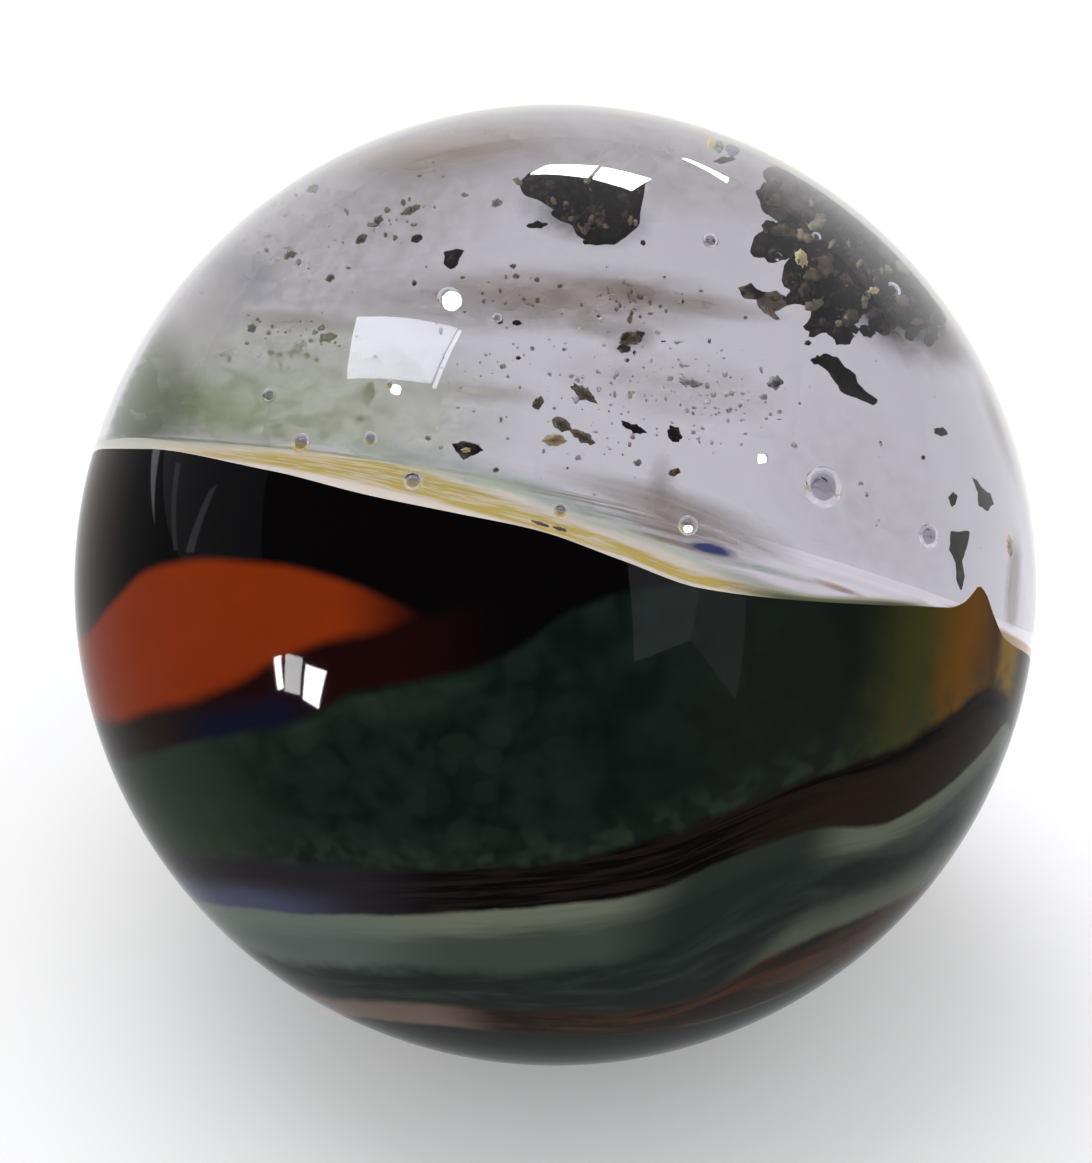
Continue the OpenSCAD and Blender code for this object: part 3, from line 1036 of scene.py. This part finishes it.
def make_ash_flakes(material):
    heap = Heap()
    for clump in CLUMPS:
        add_clump(heap, *clump)
    for outline, share, thickness, rag, tint in OUTLINED_LUMPS:
        add_lump(heap, outline, share, thickness, rag, tint)
    for px, py, length, width, angle, share, tint in PLAIN_FLAKES:
        thickness = width * MM_PER_PX * FLAKE_THICKNESS
        add_lump(heap, oval(px, py, length, width, angle), share, thickness, FLAKE_RAG, tint)
    return heap.build("ash_flakes", material)


def speck_form():
    """Corners and faces of a small round form."""
    form = bmesh.new()
    bmesh.ops.create_icosphere(form, subdivisions=1, radius=1)
    corners = np.array([v.co for v in form.verts])
    faces = [tuple(v.index for v in face.verts) for face in form.faces]
    form.free()
    return corners, faces


def make_ash_dust(material):
    heap = Heap()
    corners, faces = speck_form()
    for px, py, half_length, half_width, angle, count, share, tint in DUST_FIELDS:
        for _ in range(count):
            along = RNG.gauss(0, DUST_SPREAD) * half_length
            across = RNG.gauss(0, DUST_SPREAD) * half_width
            spot = keep_in_ball(*turned(px, py, along, across, angle))
            depth = share_over_face(*spot, share + RNG.uniform(-DUST_DEPTH_SPREAD, DUST_DEPTH_SPREAD))
            middle = inside_glass(*spot, depth)
            radius = RNG.choice(SPECK_RADII_PX) / BALL_PX_RADIUS
            squash = np.array([RNG.uniform(*SPECK_SQUASH) for _ in range(3)])
            knobs = np.array([RNG.uniform(*SPECK_KNOBS) for _ in range(len(corners))])
            shade = RNG.uniform(*SPECK_SHADE)
            shaded = tuple(part * shade for part in tint)
            heap.add(middle + corners * squash * knobs[:, None] * radius, faces, shaded)
    return heap.build("ash_dust", material)


ASH_RUST = rgb(0.150, 0.112, 0.078)
ASH_PALE = rgb(0.330, 0.270, 0.200)
ASH_BLACK = rgb(0.016, 0.013, 0.011)


def make_ash_material():
    """Burnt specks: matt, mottled from black-brown to rust and grey."""
    s = Shader("ash")
    tint = s.attribute("tint", "Color")
    spot = s.spot_in_mm()
    mottle = s.noise(spot, 2.6, 4.0, 0.62)
    crumb = s.noise(spot, 6.0, 2.0, 0.6)
    light = s.mix(s.ramp(mottle, 0.52, 0.70, 0.0, 0.6), tint, ASH_RUST)
    light = s.mix(s.ramp(crumb, 0.62, 0.76, 0.0, 0.4), light, ASH_PALE)
    dark = s.mix(s.ramp(mottle, 0.46, 0.34), light, ASH_BLACK)
    ash = s.node("ShaderNodeBsdfPrincipled", {
        "Base Color": dark, "Roughness": 0.85, "Specular IOR Level": 0.0})
    return s.finish(ash.outputs[0])


# Smoky streaks in the clear glass: thin sheets, thickest along their middles

SMOKE_GREY = (0.500, 0.470, 0.440)
SMOKE_WARM = (0.430, 0.380, 0.330)
SMOKE_BROWN = (0.320, 0.260, 0.200)
SMOKE_SOOT = (0.034, 0.029, 0.029)
SLATE = (0.330, 0.370, 0.420)
HAZE_GREEN = (0.480, 0.550, 0.370)
LEAF_GREEN = (0.290, 0.370, 0.085)
DEEP_GREEN = (0.062, 0.090, 0.014)
TEAL_STREAK = (0.330, 0.460, 0.380)
BLUE_SMEAR = (0.060, 0.070, 0.230)
RUST_STREAK = (0.600, 0.260, 0.140)

# Smears: [pixel across, pixel down, half length, half width, angle, stretch, depth share, colour, cover]
SMEARS = [
    (300, 240, 290, 170, 38, 1.3, 0.52, SMOKE_GREY, 0.46),
    (215, 265, 190, 50, 50, 1.6, 0.50, SMOKE_WARM, 0.40),
    (180, 320, 120, 70, 60, 1.4, 0.48, SMOKE_WARM, 0.34),
    (430, 150, 160, 34, 6, 3.0, 0.48, SMOKE_BROWN, 0.90),
    (400, 200, 160, 60, 14, 1.6, 0.50, SMOKE_WARM, 0.24),
    (470, 300, 170, 40, 0, 2.5, 0.54, SMOKE_WARM, 0.62),
    (590, 300, 170, 40, -2, 2.5, 0.53, SMOKE_BROWN, 0.68),
    (705, 306, 90, 14, -8, 3.5, 0.52, SMOKE_BROWN, 0.65),
    (630, 290, 60, 12, -8, 2.5, 0.53, SMOKE_BROWN, 0.75),
    (630, 337, 34, 20, 0, 1.5, 0.54, SMOKE_BROWN, 0.60),
    (592, 326, 30, 14, -10, 2.0, 0.54, HAZE_GREEN, 0.60),
    (480, 392, 70, 14, -6, 3.0, 0.46, SMOKE_WARM, 0.60),
    (670, 385, 130, 40, -8, 2.0, 0.48, SMOKE_GREY, 0.40),
    (245, 274, 44, 28, -30, 1.3, 0.50, SLATE, 0.50), (413, 157, 18, 10, 10, 1.5, 0.50, SLATE, 0.60),
    (290, 415, 250, 115, 0, 1.5, 0.34, HAZE_GREEN, 0.80),
    (130, 388, 76, 100, 0, 1.2, 0.22, DEEP_GREEN, 1.25),
    (195, 408, 75, 42, 0, 1.3, 0.30, LEAF_GREEN, 0.60),
    (430, 462, 170, 18, -13, 4.0, 0.14, TEAL_STREAK, 0.45),
    (590, 512, 130, 14, -20, 4.0, 0.12, TEAL_STREAK, 0.50),
    (705, 530, 120, 34, -22, 5.0, 0.16, SMOKE_BROWN, 0.75),
    (640, 495, 110, 18, -14, 5.0, 0.20, SMOKE_WARM, 0.50),
    (662, 490, 40, 18, 90, 2.0, 0.22, SMOKE_BROWN, 0.45),
    (712, 550, 30, 9, -14, 2.5, 0.10, BLUE_SMEAR, 1.50),
    (840, 589, 34, 4, -20, 3.0, 0.05, RUST_STREAK, 0.75),
    (770, 573, 90, 8, -16, 4.0, 0.07, TEAL_STREAK, 0.60),
    (300, 322, 80, 13, -4, 2.5, 0.46, SMOKE_BROWN, 0.60),
    (585, 215, 75, 34, -10, 1.3, 0.54, SMOKE_SOOT, 0.70),
    (884, 254, 150, 84, -48, 1.5, 0.47, SMOKE_SOOT, 1.80),
    (945, 335, 50, 26, -40, 2.0, 0.47, SMOKE_BROWN, 0.60),
    (996, 400, 120, 16, -72, 3.0, 0.50, SMOKE_BROWN, 0.70),
    (1013, 590, 66, 9, 86, 3.0, 0.30, SMOKE_BROWN, 0.90),
    (640, 150, 240, 70, -8, 1.5, 0.56, SMOKE_WARM, 0.50),
    (860, 500, 150, 90, -50, 1.5, 0.40, SMOKE_GREY, 0.20),
]
SMEAR_STEPS_ALONG = 40
SMEAR_STEPS_ACROSS = 16
SMEAR_GRAIN_PX = 16
FINE_GRAIN_PX = 7
FINE_GRAIN_FROM = 4.5
SMEAR_GRAIN_SHIFT = 3.7
SMEAR_THINNING = 1.3
LIMB_FADE_FROM = 0.975
LIMB_FADE_TO = 0.995
SMOKE_SHADE = rgb(0.10, 0.08, 0.06)


def make_smoke(material):
    points, faces, tints, covers, drifts = [], [], [], [], []
    along, across = np.meshgrid(np.linspace(-1, 1, SMEAR_STEPS_ALONG),
                                np.linspace(-1, 1, SMEAR_STEPS_ACROSS), indexing="ij")
    for number, (px, py, half_length, half_width, angle, stretch, share, tint, cover) in enumerate(SMEARS):
        share = share_over_face(*keep_in_ball(px, py), share)
        spot_x, spot_y = turned(px, py, along * half_length, across * half_width, angle)
        reach = np.hypot(spot_x - BALL_PX_X, spot_y - BALL_PX_Y) / BALL_PX_RADIUS
        outside = reach > 1
        spot_x, spot_y = keep_in_ball(spot_x, spot_y)
        first = len(points)
        spots = inside_glass(spot_x, spot_y, np.full(spot_x.shape, share))
        points += spots.reshape(-1, 3).tolist()
        for i in range(SMEAR_STEPS_ALONG - 1):
            for j in range(SMEAR_STEPS_ACROSS - 1):
                a = first + i * SMEAR_STEPS_ACROSS + j
                if not outside[i:i + 2, j:j + 2].all():
                    faces.append((a, a + SMEAR_STEPS_ACROSS, a + SMEAR_STEPS_ACROSS + 1, a + 1))
        tints += [(*tint, 1.0)] * spot_x.size
        thinning = np.clip(1 - along ** 2 - across ** 2, 0, 1) ** SMEAR_THINNING
        thinning *= 1 - smooth_step(LIMB_FADE_FROM, LIMB_FADE_TO, reach)
        thinning *= smooth_step(0.0, FACE_CLEARANCE, over_face(spots))
        covers += (cover * thinning).ravel().tolist()
        grain = FINE_GRAIN_PX if stretch >= FINE_GRAIN_FROM else SMEAR_GRAIN_PX
        drift = np.stack((along * half_length / SMEAR_GRAIN_PX / stretch, across * half_width / grain,
                          np.full(along.shape, number * SMEAR_GRAIN_SHIFT)), -1)
        drifts += drift.reshape(-1, 3).tolist()
    piece = new_mesh_object("smoke", points, faces, (material,))
    add_layer(piece.data, "FLOAT_COLOR", "tint", tints)
    add_layer(piece.data, "FLOAT", "cover", covers)
    add_layer(piece.data, "FLOAT_VECTOR", "drift", drifts)
    return piece


def make_smoke_material():
    """Thin smoke: more or less clear along streaks."""
    s = Shader("smoke")
    drift = s.attribute("drift", "Vector")
    streak = s.noise(drift, 1.0, 3.0, 0.50, 0.4)
    thick = s.ramp(streak, 0.22, 0.76, 0.70, 1.20)
    cover = s.math("MULTIPLY", s.attribute("cover"), thick, clamp=True)
    tint = s.mix(s.ramp(streak, 0.40, 0.70), s.attribute("tint", "Color"),
                 s.mix(0.3, s.attribute("tint", "Color"), SMOKE_SHADE))
    haze = s.node("ShaderNodeBsdfPrincipled", {
        "Base Color": tint, "Roughness": 0.9, "Specular IOR Level": 0.0, "Alpha": cover})
    return s.finish(haze.outputs[0])


# Stage, lamps and camera

FLOOR_RADIUS = 3.0
FLOOR_SEGMENTS = 96
FLOOR_COLOUR = rgb(0.93, 0.93, 0.93)
FLOOR_LIFT = 0.16


def make_floor():
    form = bmesh.new()
    bmesh.ops.create_circle(form, cap_ends=True, segments=FLOOR_SEGMENTS, radius=FLOOR_RADIUS)
    mesh = bpy.data.meshes.new("floor")
    form.to_mesh(mesh)
    form.free()
    s = Shader("pale_floor")
    matt = s.node("ShaderNodeBsdfDiffuse", {"Color": FLOOR_COLOUR})
    path = s.node("ShaderNodeLightPath")
    seen = s.math("MAXIMUM", path.outputs["Is Camera Ray"], path.outputs["Is Transmission Ray"])
    seen = s.math("MAXIMUM", seen, path.outputs["Is Glossy Ray"])
    lift = s.node("ShaderNodeEmission", {"Strength": s.times(seen, FLOOR_LIFT)})
    both = s.node("ShaderNodeAddShader", {0: matt.outputs[0], 1: lift.outputs[0]})
    mesh.materials.append(s.finish(both.outputs[0]))
    floor = put_in_scene("floor", mesh)
    floor.location = (0, 0, LOW.z)


def mirrored_way(px, py):
    """The direction, in the show side's axes, that the ball's skin mirrors at a pixel."""
    entry, _, _ = sight_line(px, py)
    eye = np.array((0.0, 0.0, CAMERA_DISTANCE_IN_RADII)) - entry
    eye /= np.linalg.norm(eye)
    return 2 * (entry @ eye) * entry - eye, entry


def make_window(name, corners, distance, radiance, colour):
    """A bright pane that the ball mirrors between these pixels. It is seen in gloss only."""
    spots = []
    for px, py in corners:
        way, entry = mirrored_way(px, py)
        spots.append(entry + way * distance / BALL_RADIUS)
    s = Shader(name)
    glow = s.node("ShaderNodeEmission", {"Color": rgb(*colour), "Strength": radiance})
    material = s.finish(glow.outputs[0])
    pane = new_mesh_object(name, spots, [tuple(range(len(spots)))], (material,), smooth=False)
    pane.visible_camera = False
    pane.visible_diffuse = False
    pane.visible_transmission = False
    pane.visible_shadow = False


def make_softbox(name, spot, size, radiance):
    """A large soft lamp that looks at the ball and isn't mirrored in it."""
    data = bpy.data.lights.new(name, "AREA")
    data.size = size
    data.energy = radiance * math.pi * size ** 2
    lamp = put_in_scene(name, data)
    lamp.location = spot
    lamp.rotation_euler = (BALL_CENTRE - Vector(spot)).to_track_quat("-Z", "Y").to_euler()
    lamp.visible_camera = False
    lamp.visible_glossy = False
    lamp.visible_transmission = False


ROUND_CORNERS = 16


def round_spot(px, py, radius):
    """Corners of a round spot, in pixels."""
    ways = [2 * math.pi * k / ROUND_CORNERS for k in range(ROUND_CORNERS)]
    return [(px + radius * math.cos(way), py + radius * math.sin(way)) for way in ways]


COOL_WHITE = (0.90, 0.93, 1.0)
WHITE = (1.0, 1.0, 1.0)
WORLD_COLOUR = rgb(0.97, 0.98, 1.0)
WORLD_STRENGTH = 0.80

# Soft lamps: name, place and size in metres, radiance
SOFTBOXES = [
    ("overhead_softbox", (-0.10, 0.10, 0.50), 0.40, 1.6),
    ("front_softbox", (0.05, -0.45, 0.12), 0.20, 1.4),
]

# Distances of the mirrored panes from the ball, in metres
FAR_PANE = 0.30
GHOST_PANE = 0.20
WISP_PANE = 0.10
NEAR_PANE = 0.08
SPOT_RADIANCE = 124.0

# Panes that the ball mirrors: name, corners in pixels, distance, radiance, colour
PANES = [
    ("ceiling_panel", [(357, 317), (458, 328), (431, 384), (347, 379)], FAR_PANE, 27.0, COOL_WHITE),
    ("ceiling_edge", [(458, 330), (462, 331), (436, 389), (432, 388)], FAR_PANE, 36.0, COOL_WHITE),
    ("back_window_left", [(530, 174), (548, 165), (598, 166), (588, 178)], FAR_PANE, 50.0, WHITE),
    ("back_window_right", [(592, 179), (602, 167), (651, 179), (632, 191)], FAR_PANE, 50.0, WHITE),
    ("back_slit", [(681, 158), (688, 159), (729, 178), (727, 183)], FAR_PANE, 26.0, WHITE),
    ("left_pane_thin", [(274, 657), (281, 655), (284, 688), (278, 690)], NEAR_PANE, 950.0, WHITE),
    ("left_pane_middle", [(286, 653), (303, 658), (300, 695), (285, 691)], NEAR_PANE, 330.0, WHITE),
    ("left_pane_broad", [(306, 664), (327, 671), (319, 709), (303, 699)], NEAR_PANE, 950.0, WHITE),
    ("bright_spot_1", round_spot(452, 301, 10), FAR_PANE, SPOT_RADIANCE, WHITE),
    ("bright_spot_2", round_spot(396, 390, 5.5), FAR_PANE, SPOT_RADIANCE, WHITE),
    ("bright_spot_3", round_spot(762, 459, 5), FAR_PANE, SPOT_RADIANCE, WHITE),
    ("bright_spot_4", round_spot(688, 529, 4.5), FAR_PANE, SPOT_RADIANCE, WHITE),
    ("room_ghost_1", [(628, 566), (700, 590), (690, 640), (634, 662)], GHOST_PANE, 13.0, COOL_WHITE),
    ("room_ghost_2", [(700, 590), (745, 600), (735, 700), (690, 640)], GHOST_PANE, 7.0, COOL_WHITE),
    ("room_ghost_3", [(88, 560), (110, 452), (268, 473), (262, 560), (170, 562)],
     GHOST_PANE, 3.0, COOL_WHITE),
    ("room_ghost_4", [(86, 565), (108, 452), (150, 450), (138, 564)], GHOST_PANE, 3.6, COOL_WHITE),
    ("room_ghost_5", [(100, 590), (178, 560), (200, 690), (112, 722)], GHOST_PANE, 26.0, COOL_WHITE),
    ("room_wisp_1", [(152, 452), (160, 452), (158, 556), (150, 556)], WISP_PANE, 12.0, COOL_WHITE),
    ("room_wisp_2", [(176, 462), (181, 464), (178, 550), (174, 550)], WISP_PANE, 7.0, COOL_WHITE),
    ("room_wisp_3", [(210, 490), (218, 484), (194, 552), (186, 552)], WISP_PANE, 11.0, COOL_WHITE),
]


def make_light():
    world = bpy.data.worlds.new("studio")
    world.use_nodes = True
    shade = world.node_tree.nodes["Background"]
    shade.inputs["Color"].default_value = WORLD_COLOUR
    shade.inputs["Strength"].default_value = WORLD_STRENGTH
    bpy.context.scene.world = world
    for softbox in SOFTBOXES:
        make_softbox(*softbox)
    for pane in PANES:
        make_window(*pane)


def make_camera():
    data = bpy.data.cameras.new("camera")
    data.sensor_fit = "HORIZONTAL"
    data.sensor_width = SENSOR_WIDTH_MM
    data.lens = FOCAL_PX / PHOTO_WIDTH * SENSOR_WIDTH_MM
    data.shift_x = (PHOTO_WIDTH / 2 - BALL_PX_X) / PHOTO_WIDTH
    data.shift_y = (BALL_PX_Y - PHOTO_HEIGHT / 2) / PHOTO_WIDTH
    data.clip_start = CAMERA_CLIP_START
    data.clip_end = CAMERA_CLIP_END
    camera = put_in_scene("camera", data)
    camera.location = Vector(to_frame((0, 0, CAMERA_DISTANCE_IN_RADII)))
    camera.rotation_euler = (math.pi / 2 - SHOW_TILT, 0, 0)
    bpy.context.scene.camera = camera


# The whole scene

coloured = make_coloured_glass(make_skin_material(), make_face_material())
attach(coloured, "root")
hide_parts("coloured_glass")

clear = make_clear_glass(make_glass_material())
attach(clear, "root")
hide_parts("marble")

ash_material = make_ash_material()
flakes = make_ash_flakes(ash_material)
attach(flakes, "root")

dust = make_ash_dust(ash_material)
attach(dust, "root")

smoke = make_smoke(make_smoke_material())
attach(smoke, "root")

make_floor()
make_light()
make_camera()
bpy.context.scene.view_settings.view_transform = "Standard"
